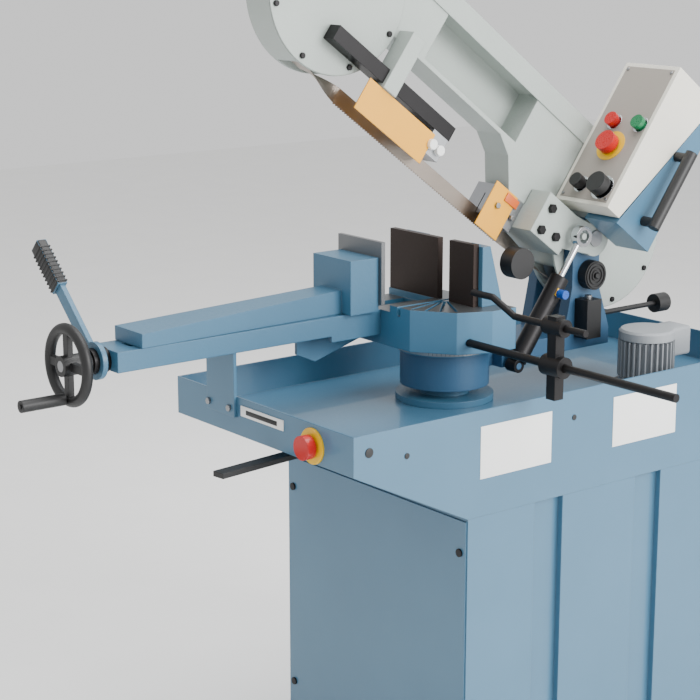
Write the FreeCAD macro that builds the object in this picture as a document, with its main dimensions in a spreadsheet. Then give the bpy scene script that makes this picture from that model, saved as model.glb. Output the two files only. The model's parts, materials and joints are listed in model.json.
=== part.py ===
"""Mitre band saw for metal: folded cabinet and chip tray, vise, swivel arm and tilting saw bow.

Millimetres, +Z up. The origin is the middle of the cabinet's footprint on the floor, the operator
stands on the -Y side, and the saw bow hinges about an axis along X.
"""
import FreeCAD, Part
import math
import os
import re
import Sketcher

SIZES = {
    # cabinet and tray
    "cabinet_wide": 500, "cabinet_deep": 760, "cabinet_tall": 597, "sheet": 3,
    "channel_wide": 66, "channel_deep": 12, "channel_front": -229, "channel_rear": 15,
    "flange_wide": 45, "anchor_radius": 6.5, "anchor_across": 440, "anchor_along": 700,
    "front_flange": 28, "panel_thick": 2.5, "panel_gap": 5, "screw_radius": 4, "screw_head_radius": 7,
    "screw_head": 3, "screw_long": 14, "screw_inset": 17, "screw_high": 536, "screw_low": 150,
    "tray_front": -620, "tray_rear": 380, "tray_top": 780, "lip_tall": 66, "tray_floor": 724,
    "skirt_front": -380,
    # coolant pump and tank
    "pump_x": 150, "pump_y": 140, "pump_radius": 52, "pump_top": 832, "pump_stem": 34,
    "pump_foot": 470, "pump_flange": 64, "pump_flange_thick": 6, "tank_front": 20,
    "tank_back_gap": 60, "tank_tall": 150, "tank_base": 420,
    # turntable, table and fixed jaws
    "post_x": -15, "post_y": -205, "post_radius": 45, "turn_flange_radius": 88, "turn_flange": 12,
    "hub_radius": 80, "hub_low": 753, "hub_high": 815, "hub_clear": 0.05,
    "scale_low": 816, "table_low": 828, "table_top": 902, "table_left": -165, "table_right": 110,
    "table_front": -312, "table_rear": -150, "slot_wide": 5, "slot_deep": 9, "slot_long": 104,
    "slot_step": 15, "blade_slot": 8, "blade_slot_low": 886,
    "notch_deep": 11, "notch_low": 872,
    "jaw_face_y": -210, "jaw_thick": 12, "jaw_tall": 110, "jaw_left": -164, "jaw_gap_left": -31,
    "jaw_gap_right": 0, "jaw_right": 64, "bracket_deep": 56, "bracket_neck": 18,
    # vise
    "vise_x": -105, "bed_wide": 80, "bed_front": -850, "bed_low": 856, "bed_top": 890,
    "bed_deep_low": 845, "bed_step": -421, "bed_wall": 10, "rail_slot": 28,
    "screw_rod_radius": 9, "wheel_z": 872, "screw_rear": -228, "wheel_y": -916.5, "wheel_radius": 68,
    "wheel_tube": 9, "wheel_hub": 17, "wheel_hub_long": 30, "crank_radius": 10, "crank_long": 78,
    "crank_pin": 4, "crank_offset": 54, "fit": 0.05, "collar_radius": 21, "collar_long": 30,
    "lever_long": 240, "lever_tilt": 47, "lever_thick": 9, "lever_wide": 22, "lever_ring": 31,
    "lever_y": -862, "lever_grip": 92,
    "slide_face": -320, "slide_plate": 8, "slide_plate_wide": 123, "slide_wide": 107,
    "slide_tall": 96, "slide_deep": 62, "tail_front": -805, "tail_wide": 84, "tail_narrow": 56,
    "tail_low": 24, "tail_high": 42, "slide_clear": 0.4, "nut_half": 12, "nut_long": 40,
    "support_thick": 6, "support_left": -149, "support_right": -67, "web_y": -455,
    # length stop
    "stop_y": -242, "stop_z": 848, "stop_radius": 7, "stop_left": 24, "stop_right": 569,
    "stop_head_x": 304, "stop_head_long": 44, "stop_head_radius": 18, "stop_foot_z": 792,
    "stop_neck": 10, "finger_z": 914, "finger_radius": 6, "finger_left": 100, "finger_right": 372,
    "finger_bend_low": 205, "finger_bend_high": 150, "finger_rise": 24,
    # swivel arm and hinge
    "pivot_y": 86, "pivot_z": 992, "lift": 36.5, "pin_radius": 15, "cheek_near_in": 20,
    "cheek_near_out": 43, "cheek_far_in": -50, "cheek_far_out": -73, "cheek_boss": 34,
    "ear_near_in": 45, "ear_near_out": 65, "ear_far_in": -75, "ear_far_out": -95, "ear_boss": 33,
    "beam_low": 784, "beam_high": 815, "beam_half": 58, "beam_rear": 150, "cheek_front": 34,
    "cheek_waist": 52, "bush_wall": 3,
    "swivel_lever_z": 690, "swivel_lever_long": 539, "swivel_lever_turn": 7.1, "swivel_lever_wide": 24,
    "swivel_lever_thick": 9, "swivel_rod": 9,
    # saw bow, measured from the hinge with the blade level
    "blade_x": -15, "blade_wide": 27, "blade_thick": 0.9, "teeth_low": -102, "wheel_run": 130, "body_gap": 0.3,
    "drive_y": 66, "wheel_high": 41, "idler_y": -718, "rim_wide": 27, "wheel_web": 8,
    "wheel_bore": 14, "hub_out": 30, "case_gap": 10, "case_back": -46, "case_front": 16,
    "case_wall": 8, "case_rim": 6, "beam_under": 45, "throat_left": -560, "foot_front": -236,
    "foot_rear": -120, "foot_low": -24, "cover_thick": 2,
    "yoke_front": -150, "yoke_rear": -62, "yoke_low": -72, "yoke_high": 8,
    "gear_out": -165, "gear_in": -99, "gear_radius": 55, "motor_radius": 60, "motor_front": 121,
    "motor_rear": 285, "motor_x": -132,
    "box_right": 150, "box_face": -91, "box_low": 24, "box_high": 318,
    "box_foot_rear": -54, "box_top_rear": 32, "box_wall": 2, "rear_box_rear": 50,
    "rear_box_left": 70, "rear_box_low": 14,
    "grip_low": 52, "grip_high": 188, "grip_y": 4, "grip_stand": 30,
    "grip_radius": 11, "guide_front": -216, "guide_rear": -150, "guide_gap": 1.2,
    "guide_wide": 62, "guide_low": -84, "guide_high": -24, "guard_front": -232, "guard_drop": -112,
    "guard_thick": 2, "bar_front": -700, "bar_rear": -392, "shade_front": -600, "twist_front": -600,
    "blade_flat": 40,
    "socket_front": -572, "socket_rear": -540, "socket_wall": 7, "socket_high": 60, "bar_side": 26,
    "bar_z": -28,
    "bar_x": 32, "block_front": -432, "block_rear": -394, "block_half": 15,
    # controls
    "head_radius": 20, "head_long": 16, "stem_radius": 10, "stem_long": 8, "button_radius": 13,
    "button_long": 9, "switch_radius": 20, "switch_long": 18, "selector_radius": 13,
    "selector_long": 15, "front_stop_x": 145, "front_stop_z": 743, "panel_stand": 6,
    "panel_stop_x": 85, "panel_stop_z": 144, "start_x": 128, "stop_x": 64, "start_z": 193,
    "main_x": 116, "main_z": 60, "selector_x": 63, "knob_run": -128, "knob_drop": -128, "knob_out": 34,
    # hydraulic cylinder
    "cyl_x": 85, "cyl_radius": 17, "cyl_y": -128, "cyl_z": 790, "cyl_tilt": 53.7, "cyl_long": 180,
    "rod_radius": 6, "rod_start": 90, "rod_end": 266.6, "pin_y": -53, "pin_z": -23, "cyl_pin": 6,
    "eye_radius": 19, "eye_hole": 12, "eye_half": 8, "foot_radius": 12, "valve_radius": 8,
    "valve_long": 16, "valve_at": 150,
    # limit switch, spring drum and down stop
    "switch_front": 60, "switch_rear": 96, "switch_out": 76, "switch_low": 808, "switch_high": 880,
    "drum_y": 92, "drum_z": 922, "drum_radius": 27, "drum_long": 20, "stud_x": 31, "stud_radius": 5,
    "stud_front": 120, "knob_z": 840, "knob_y": 284, "knob_long": 30, "knob_radius": 18,
}

doc = FreeCAD.newDocument("MitreBandSaw")
sheet = doc.addObject("Spreadsheet::Sheet", "Sheet")
for row, (alias, number) in enumerate(SIZES.items(), start=1):
    sheet.set(f"A{row}", alias)
    sheet.set(f"B{row}", str(number))
    sheet.setAlias(f"B{row}", alias)
doc.recompute()

NODES = []
PLANES = {"XY": "XY_Plane", "XZ": "XZ_Plane", "YZ": "YZ_Plane"}
TURNS = {
    "Z": FreeCAD.Rotation(),
    "X": FreeCAD.Rotation(FreeCAD.Vector(0, 1, 0), 90),
    "Y": FreeCAD.Rotation(FreeCAD.Vector(1, 0, 0), -90),
}


def bound(text):
    """Write an expression in the sheet's aliases out in full."""
    return re.sub(r"[a-z_][a-z_0-9]*", lambda word: "Sheet." + word[0] if word[0] in SIZES else word[0],
                  str(text))


def bind(thing, prop, text):
    thing.setExpression(prop, bound(text))


def place(thing, corner):
    for axis, text in zip("xyz", corner):
        bind(thing, f"Placement.Base.{axis}", text)


def part(kind, name, **sizes):
    thing = doc.addObject("Part::" + kind, name)
    for prop, text in sizes.items():
        bind(thing, prop, text)
    return thing


def block(name, x, y, z):
    """A box between two expressions along each axis."""
    thing = part("Box", name, Length=f"({x[1]}) - ({x[0]})", Width=f"({y[1]}) - ({y[0]})",
                 Height=f"({z[1]}) - ({z[0]})")
    place(thing, (x[0], y[0], z[0]))
    return thing


def rod(name, radius, axis, start, end, centre):
    """A cylinder along an axis, from start to end, through a centre in the other two axes."""
    thing = part("Cylinder", name, Radius=radius, Height=f"({end}) - ({start})")
    thing.Placement.Rotation = TURNS[axis]
    spot = list(centre)
    spot.insert("XYZ".index(axis), start)
    place(thing, spot)
    return thing


def cut(name, base, *tools):
    """Take the tools out of a solid."""
    tool = tools[0] if len(tools) == 1 else fuse(name + "_tools", *tools)
    thing = doc.addObject("Part::Cut", name)
    thing.Base, thing.Tool = base, tool
    return thing


def fuse(name, *parts):
    """Join parts into one solid; a single part is only wrapped, so that it can be placed again."""
    if len(parts) == 1:
        return group(name, *parts)
    thing = doc.addObject("Part::MultiFuse", name)
    thing.Shapes = list(parts)
    return thing


def group(name, *parts):
    thing = doc.addObject("Part::Compound", name)
    thing.Links = list(parts)
    return thing


def outline(sketch, corners):
    """A closed outline whose corners are placed by expressions."""
    first = sketch.GeometryCount
    count = len(corners)
    ring = [FreeCAD.Vector(100 * math.cos(2 * math.pi * n / count), 100 * math.sin(2 * math.pi * n / count))
            for n in range(count)]
    for n in range(count):
        sketch.addGeometry(Part.LineSegment(ring[n], ring[(n + 1) % count]))
    for n, corner in enumerate(corners):
        sketch.addConstraint(Sketcher.Constraint("Coincident", first + n - 1 if n else first + count - 1, 2,
                                                 first + n, 1))
        for axis, text in zip("XY", corner):
            start = ring[n].x if axis == "X" else ring[n].y
            index = sketch.addConstraint(Sketcher.Constraint("Distance" + axis, -1, 1, first + n, 1, start))
            sketch.setExpression(f"Constraints[{index}]", bound(text))


def ring_hole(sketch, centre, radius):
    """A round edge in a sketch, its centre and radius given by expressions."""
    item = sketch.addGeometry(Part.Circle(FreeCAD.Vector(10, 10), FreeCAD.Vector(0, 0, 1), 5))
    for axis, text in zip("XY", centre):
        index = sketch.addConstraint(Sketcher.Constraint("Distance" + axis, -1, 1, item, 3, 10))
        sketch.setExpression(f"Constraints[{index}]", bound(text))
    index = sketch.addConstraint(Sketcher.Constraint("Radius", item, 5))
    sketch.setExpression(f"Constraints[{index}]", bound(radius))


def plate(name, plane, corners, start, end, holes=(), disc=None):
    """A body padded from an outline, between two places along the plane's normal axis."""
    body = doc.addObject("PartDesign::Body", name)
    sketch = body.newObject("Sketcher::SketchObject", name + "_sketch")
    support = next(item for item in body.Origin.OriginFeatures if item.Role == PLANES[plane])
    sketch.AttachmentSupport = [(support, "")]
    sketch.MapMode = "FlatFace"
    offset = f"-({end})" if plane == "XZ" else start
    sketch.setExpression("AttachmentOffset.Base.z", bound(offset))
    if disc:
        ring_hole(sketch, disc[0], disc[1])
    else:
        outline(sketch, corners)
    for centre, radius in holes:
        ring_hole(sketch, centre, radius)
    pad = body.newObject("PartDesign::Pad", name + "_pad")
    pad.Profile = sketch
    bind(pad, "Length", f"({end}) - ({start})")
    return body


def keep(thing, on_bow=False):
    """Name a finished piece as a node, and hang it on the raised bow if it rides there."""
    thing.Label = thing.Name
    if on_bow:
        bind(thing, "Placement.Base.y", "pivot_y")
        bind(thing, "Placement.Base.z", "pivot_z")
        bind(thing, "Placement.Rotation.Angle", "lift")
        thing.Placement.Rotation = FreeCAD.Rotation(FreeCAD.Vector(-1, 0, 0), SIZES["lift"])
    NODES.append(thing)
    return thing


def plan(inset):
    """The cabinet's plan: a rectangle with two folded channels in each side."""
    right = [(f"cabinet_wide/2 - {inset}", f"-cabinet_deep/2 + {inset}")]
    for start in ("channel_front", "channel_rear"):
        edges = (f"{start} - {inset}", f"{start} + channel_wide + {inset}")
        right += [(f"cabinet_wide/2 - {inset}", edges[0])]
        right += [(f"cabinet_wide/2 - channel_deep - {inset}", edge) for edge in edges]
        right += [(f"cabinet_wide/2 - {inset}", edges[1])]
    right += [(f"cabinet_wide/2 - {inset}", f"cabinet_deep/2 - {inset}")]
    left = [(f"-({u})", v) for u, v in reversed(right)]
    return right + left


def corners4(u, v):
    """The four corners of a rectangle between two expressions along each side."""
    return [(u[0], v[0]), (u[1], v[0]), (u[1], v[1]), (u[0], v[1])]


def cabinet():
    half, depth = "cabinet_wide/2", "cabinet_deep/2"
    screw_spots = [(f"{side}*({half} - screw_inset)", level)
                   for side in (-1, 1) for level in ("screw_low", "screw_high")]
    skin = plate("cabinet_skin", "XY", plan("0"), "0", "cabinet_tall")
    room = plate("cabinet_room", "XY", plan("sheet"), "-1", "cabinet_tall + 1")
    mouth = block("cabinet_mouth", (f"-{half} + front_flange", f"{half} - front_flange"),
                  (f"-{depth} - 1", f"-{depth} + sheet + 1"),
                  ("front_flange", "cabinet_tall - front_flange"))
    taps = [rod(f"cabinet_tap{n}", "screw_radius", "Y", f"-{depth} - 1", f"-{depth} + sheet + 1", spot)
            for n, spot in enumerate(screw_spots)]
    walls = cut("cabinet_walls", skin, room, mouth, *taps)
    anchors = [((f"{x}*anchor_across/2", f"{y}*anchor_along/2"), "anchor_radius")
               for x in (-1, 1) for y in (-1, 1)]
    floor = plate("cabinet_foot", "XY", plan("sheet"), "0", "sheet", holes=anchors)
    well = block("cabinet_well", (f"-{half} + flange_wide", f"{half} - flange_wide"),
                 (f"-{depth} + flange_wide", f"{depth} - flange_wide"), ("-1", "sheet + 1"))
    keep(fuse("cabinet_shell", walls, cut("cabinet_flange", floor, well)))
    keep(plate("front_panel", "XZ",
               corners4((f"-{half} + panel_gap/2", f"{half} - panel_gap/2"),
                        ("panel_gap", "cabinet_tall - panel_gap")),
               f"-{depth} - panel_thick", f"-{depth}", holes=[(spot, "screw_radius") for spot in screw_spots]))
    screws = []
    for n, spot in enumerate(screw_spots):
        head = rod(f"panel_head{n}", "screw_head_radius", "Y",
                   f"-{depth} - panel_thick - screw_head", f"-{depth} - panel_thick", spot)
        shank = rod(f"panel_shank{n}", "screw_radius", "Y",
                    f"-{depth} - panel_thick", f"-{depth} - panel_thick + screw_long", spot)
        screws.append(fuse(f"panel_screw{n}", head, shank))
    keep(group("panel_screws", *screws))


def tray():
    inner_x = ("-cabinet_wide/2 + sheet", "cabinet_wide/2 - sheet")
    inner_y = ("tray_front + sheet", "tray_rear - sheet")
    side = [("tray_front", "tray_top - lip_tall"), ("tray_front", "tray_top"), ("tray_rear", "tray_top"),
            ("tray_rear", "cabinet_tall"), ("skirt_front", "cabinet_tall")]
    mass = plate("tray_mass", "YZ", side, "-cabinet_wide/2", "cabinet_wide/2")
    basin = block("tray_basin", inner_x, inner_y, ("tray_floor", "tray_top + 1"))
    under = block("tray_under", inner_x, inner_y, ("cabinet_tall - 1", "tray_floor - sheet"))
    pump_hole = rod("tray_pump_hole", "pump_stem + 1", "Z", "tray_floor - sheet - 1", "tray_floor + 1",
                    ("pump_x", "pump_y"))
    stop_hole = rod("tray_stop_hole", "stem_radius + 0.5", "Y", "tray_front - 1", "tray_front + sheet + 1",
                    ("front_stop_x", "front_stop_z"))
    keep(cut("chip_tray", mass, basin, under, pump_hole, stop_hole))


def coolant():
    side = "cabinet_wide/2 - channel_deep - sheet"
    outer = block("tank_outer", (f"-({side})", side), ("tank_front", "cabinet_deep/2 - tank_back_gap"),
                  ("tank_base", "tank_base + tank_tall"))
    inner = block("tank_inner", (f"-({side}) + sheet", f"{side} - sheet"),
                  ("tank_front + sheet", "cabinet_deep/2 - tank_back_gap - sheet"),
                  ("tank_base + sheet", "tank_base + tank_tall + 1"))
    keep(cut("coolant_tank", outer, inner))
    spot = ("pump_x", "pump_y")
    stem = rod("pump_stem_rod", "pump_stem", "Z", "pump_foot", "tray_floor", spot)
    foot = rod("pump_foot_plate", "pump_flange", "Z", "tray_floor", "tray_floor + pump_flange_thick", spot)
    keep(fuse("pump_body", stem, foot))
    can = rod("pump_can", "pump_radius", "Z", "tray_floor + pump_flange_thick", "pump_top", spot)
    box = block("pump_box", ("pump_x - 30", "pump_x + 30"), ("pump_y", "pump_y + pump_radius + 38"),
                ("pump_top - 58", "pump_top"))
    keep(fuse("pump_motor", can, box))


def table():
    spot = ("post_x", "post_y")
    flange = rod("turn_flange_disc", "turn_flange_radius", "Z", "tray_floor", "tray_floor + turn_flange", spot)
    post = rod("turn_post", "post_radius", "Z", "tray_floor", "table_low", spot)
    keep(fuse("turntable_base", flange, post))
    front = [("table_left", "table_rear"), ("table_left", "table_front"), ("post_x + 30", "table_front"),
             ("table_right - 26", "table_front + 48"), ("table_right", "post_y"), ("table_right", "table_rear")]
    top = plate("table_block", "XY", front, "table_low", "table_top")
    collar = rod("table_collar", "turn_flange_radius - 2", "Z", "scale_low", "table_low", spot)
    collar_bore = rod("table_collar_bore", "post_radius", "Z", "scale_low - 1", "table_low", spot)
    trough = block("table_trough", ("vise_x - rail_slot/2", "vise_x + rail_slot/2"),
                   ("table_front - 1", "jaw_face_y - 4"), ("bed_deep_low", "table_top + 1"))
    step = block("table_step", ("vise_x - slide_plate_wide/2 - 4", "vise_x + slide_plate_wide/2 + 4"),
                 ("table_front - 1", "jaw_face_y - 2"), ("bed_top", "table_top + 1"))
    slots = [block("blade_cut", ("blade_x - blade_slot/2", "blade_x + blade_slot/2"),
                   ("table_front - 1", "table_rear + 1"), ("blade_slot_low", "table_top + 1"))]
    slots.append(block("guard_notch",
                       ("blade_x + guide_wide/2 - 3", "blade_x + guide_wide/2 + guard_thick + 4"),
                       ("table_rear - notch_deep", "table_rear + 1"), ("notch_low", "table_top + 1")))
    for n in range(1, 5):
        cutter = block(f"mitre_cut{n}", ("-slot_wide/2", "slot_wide/2"), ("-slot_long", "-14"),
                       ("table_top - slot_deep", "table_top + 1"))
        turned = group(f"mitre_slot{n}", cutter)
        place(turned, (*spot, "0"))
        bind(turned, "Placement.Rotation.Angle", f"{n}*slot_step")
        turned.Placement.Rotation = FreeCAD.Rotation(FreeCAD.Vector(0, 0, 1), 15 * n)
        slots.append(turned)
    rod_hole = rod("table_rod_hole", "stop_radius", "X", "stop_left - 1", "table_right + 1",
                   ("stop_y", "stop_z"))
    solid = fuse("table_solid", top, cut("table_ring", collar, collar_bore))
    keep(cut("vise_table", solid, trough, step, rod_hole, *slots))
    jaws = []
    for n, (left, right) in enumerate((("jaw_left", "jaw_gap_left"), ("jaw_gap_right", "jaw_right"))):
        jaws.append(block(f"fixed_jaw{n}", (left, right), ("jaw_face_y", "jaw_face_y + jaw_thick"),
                          ("table_top", "table_top + jaw_tall")))
    keep(group("fixed_jaw_plates", *jaws))
    backs = []
    for n, (left, right) in enumerate((("jaw_left + 14", "jaw_gap_left - 58"),
                                       ("jaw_gap_right + 26", "jaw_right + 10"))):
        back = "jaw_face_y + jaw_thick"
        web = [(back, "table_top"), (back, "table_top + jaw_tall - 4"),
               (f"{back} + bracket_neck", "table_top + jaw_tall - 4"),
               (f"{back} + bracket_deep - 8", "table_top")]
        backs.append(plate(f"jaw_back{n}", "YZ", web, left, right))
    keep(group("jaw_bracket", *backs))


def vise():
    left, right = "vise_x - bed_wide/2", "vise_x + bed_wide/2"
    sides = [("bed_front", "bed_low"), ("bed_front", "bed_top"), ("table_front", "bed_top"),
             ("table_front", "bed_deep_low"), ("bed_step", "bed_deep_low"), ("bed_step", "bed_low")]
    beam = plate("bed_beam", "YZ", sides, left, right)
    hollow = block("bed_hollow", (f"{left} + bed_wall", f"{right} - bed_wall"),
                   ("bed_front + bed_wall*1.5", "table_front + 1"), ("bed_deep_low - 1", "bed_top - bed_wall"))
    slot = block("bed_slot", ("vise_x - rail_slot/2", "vise_x + rail_slot/2"),
                 ("bed_front + bed_wall*4", "table_front + 1"), ("bed_low", "bed_top + 1"))
    bore = rod("bed_bore", "screw_rod_radius + fit", "Y", "bed_front - 1", "bed_front + bed_wall*4 + 1",
               ("vise_x", "wheel_z"))
    keep(cut("vise_bed", beam, hollow, slot, bore))
    lip = "tray_front"
    outer = block("support_blade", ("support_left", "support_right"), (f"{lip} - support_thick", lip),
                  ("tray_top - 35", "bed_low"))
    web = [("web_y", "bed_deep_low"), ("table_front", "bed_deep_low"),
           ("table_front", "table_low + 2"), ("web_y + 40", "table_low - 28"), ("web_y", "table_low - 10")]
    inner = plate("support_web", "YZ", web, "support_left + 22", "support_left + 22 + support_thick")
    keep(group("bed_supports", outer, inner))
    keep_base = ("vise_x", "wheel_z")
    ring = rod("collar_ring", "collar_radius", "Y", "bed_front - collar_long", "bed_front", keep_base)
    ring_bore = rod("collar_bore", "screw_rod_radius + fit", "Y", "bed_front - collar_long - 1",
                    "bed_front + 1", keep_base)
    keep(cut("screw_collar", ring, ring_bore))
    base_z = "bed_top + slide_clear"
    heel = "slide_face - slide_plate - slide_deep"
    tail = doc.addObject("Part::Wedge", "jaw_tail")
    for prop, text in {"Xmin": "-tail_wide/2", "Xmax": "tail_wide/2", "X2min": "-tail_narrow/2",
                       "X2max": "tail_narrow/2", "Ymin": "tail_front", "Ymax": heel, "Zmin": "0",
                       "Z2min": "0", "Zmax": "tail_low", "Z2max": "tail_high"}.items():
        bind(tail, prop, text)
    place(tail, ("vise_x", "0", base_z))
    tail_room = block("jaw_tail_room", ("vise_x - tail_narrow/2 + 6", "vise_x + tail_narrow/2 - 6"),
                      ("tail_front + 8", f"{heel} - 60"), (f"{base_z} - 1", f"{base_z} + tail_low - 6"))
    crown = block("jaw_crown", ("vise_x - slide_wide/2", "vise_x + slide_wide/2"),
                  (heel, "slide_face - slide_plate"), (base_z, f"{base_z} + slide_tall"))
    keep(fuse("movable_jaw", cut("jaw_tail_shell", tail, tail_room), crown))
    keep(block("movable_jaw_plate", ("vise_x - slide_plate_wide/2", "vise_x + slide_plate_wide/2"),
               ("slide_face - slide_plate", "slide_face"),
               ("table_top + slide_clear", "table_top + jaw_tall + 2")))
    nut_y = (heel, f"{heel} + nut_long")
    nut = block("nut_block", ("vise_x - nut_half", "vise_x + nut_half"), nut_y,
                ("wheel_z - nut_half", base_z))
    nut_bore = rod("nut_bore", "screw_rod_radius + fit", "Y", f"{heel} - 1", f"{heel} + nut_long + 1",
                   keep_base)
    keep(cut("jaw_nut", nut, nut_bore))


def crank():
    spot = ("vise_x", "wheel_z")
    face = "bed_front - collar_long"
    shaft = rod("screw_shaft", "screw_rod_radius", "Y", "wheel_y - wheel_hub_long/2", "screw_rear", spot)
    keep(fuse("vise_screw", shaft))
    rim = doc.addObject("Part::Torus", "wheel_rim")
    bind(rim, "Radius1", "wheel_radius - wheel_tube")
    bind(rim, "Radius2", "wheel_tube")
    rim.Placement.Rotation = TURNS["Y"]
    place(rim, ("vise_x", "wheel_y", "wheel_z"))
    hub = rod("wheel_boss", "wheel_hub", "Y", "wheel_y - wheel_hub_long/2", f"{face} - 0.5", spot)
    spokes = [block("wheel_spoke_tall", ("vise_x - 7", "vise_x + 7"), ("wheel_y - 5", "wheel_y + 5"),
                    ("wheel_z - wheel_radius + wheel_tube", "wheel_z + wheel_radius - wheel_tube")),
              block("wheel_spoke_flat",
                    ("vise_x - wheel_radius + wheel_tube", "vise_x + wheel_radius - wheel_tube"),
                    ("wheel_y - 5", "wheel_y + 5"), ("wheel_z - 7", "wheel_z + 7"))]
    wheel_bore = rod("wheel_bore_tool", "screw_rod_radius", "Y", "wheel_y - wheel_hub_long/2 - 1",
                     f"{face} + 1", spot)
    grip_spot = ("vise_x", "wheel_z - crank_offset")
    pin = rod("crank_pin_rod", "crank_pin", "Y", "wheel_y - crank_long - 12", "wheel_y", grip_spot)
    keep(fuse("handwheel", cut("wheel_casting", fuse("wheel_rough", rim, hub, *spokes), wheel_bore), pin))
    grip = rod("grip_rod", "crank_radius", "Y", "wheel_y - crank_long - 10", "wheel_y - 11", grip_spot)
    grip_bore = rod("grip_bore", "crank_pin + fit", "Y", "wheel_y - crank_long - 30", "wheel_y", grip_spot)
    keep(cut("crank_grip", grip, grip_bore))
    ring = rod("lever_ring_rod", "lever_ring", "Y", "lever_y - lever_thick", "lever_y", ("0", "0"))
    arm = block("lever_arm", ("-lever_wide/2", "lever_wide/2"), ("lever_y - lever_thick", "lever_y"),
                ("0", "lever_long"))
    grip2 = block("lever_grip_bar", ("-lever_wide/2 - 3", "lever_wide/2 + 3"),
                  ("lever_y - lever_thick - 4", "lever_y + 4"), ("lever_long - lever_grip", "lever_long"))
    bore2 = rod("lever_bore", "collar_radius + fit", "Y", "lever_y - lever_thick - 1", "lever_y + 1",
                ("0", "0"))
    lever = cut("vise_lock_lever", fuse("lever_rough", ring, arm, grip2), bore2)
    keep(lever)
    place(lever, ("vise_x", "0", "wheel_z"))
    bind(lever, "Placement.Rotation.Angle", "lever_tilt")
    lever.Placement.Rotation = FreeCAD.Rotation(FreeCAD.Vector(0, -1, 0), SIZES["lever_tilt"])


def length_stop():
    spot = ("stop_y", "stop_z")
    keep(fuse("stop_rod", rod("stop_rod_bar", "stop_radius", "X", "stop_left", "stop_right", spot)))
    ends = ("stop_head_x - stop_head_long/2", "stop_head_x + stop_head_long/2")
    eye = rod("stop_eye", "stop_head_radius", "X", *ends, spot)
    head = rod("stop_head", "stop_head_radius - 3", "X", *ends, ("stop_y", "finger_z"))
    neck = block("stop_neck_bar", ("stop_head_x - stop_neck", "stop_head_x + stop_neck"),
                 ("stop_y - stop_neck", "stop_y + stop_neck"), ("stop_foot_z", "finger_z + stop_head_radius"))
    bore = rod("stop_eye_bore", "stop_radius + fit", "X", ends[0] + " - 1", ends[1] + " + 1", spot)
    head_bore = rod("stop_head_bore", "finger_radius + fit", "X", ends[0] + " - 1", ends[1] + " + 1",
                    ("stop_y", "finger_z"))
    keep(cut("stop_bracket", fuse("stop_casting", eye, head, neck), bore, head_bore))
    size = {key: float(SIZES[key]) for key in ("finger_right", "finger_bend_low", "finger_bend_high",
                                               "finger_left", "finger_z", "finger_rise", "stop_y")}
    high = size["finger_z"] + size["finger_rise"]
    spots = [FreeCAD.Vector(size["finger_right"], size["stop_y"], size["finger_z"]),
             FreeCAD.Vector(size["finger_bend_low"], size["stop_y"], size["finger_z"]),
             FreeCAD.Vector(size["finger_bend_high"], size["stop_y"], high),
             FreeCAD.Vector(size["finger_left"], size["stop_y"], high)]
    pieces = []
    for start, end in zip(spots, spots[1:]):
        pieces.append(Part.makeCylinder(SIZES["finger_radius"], start.distanceToPoint(end), start,
                                        end - start))
    balls = [Part.makeSphere(SIZES["finger_radius"], spot) for spot in spots[1:-1]]
    finger = doc.addObject("Part::Feature", "stop_finger")
    finger.Shape = pieces[0].multiFuse(pieces[1:] + balls).removeSplitter()
    keep(finger)


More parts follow.
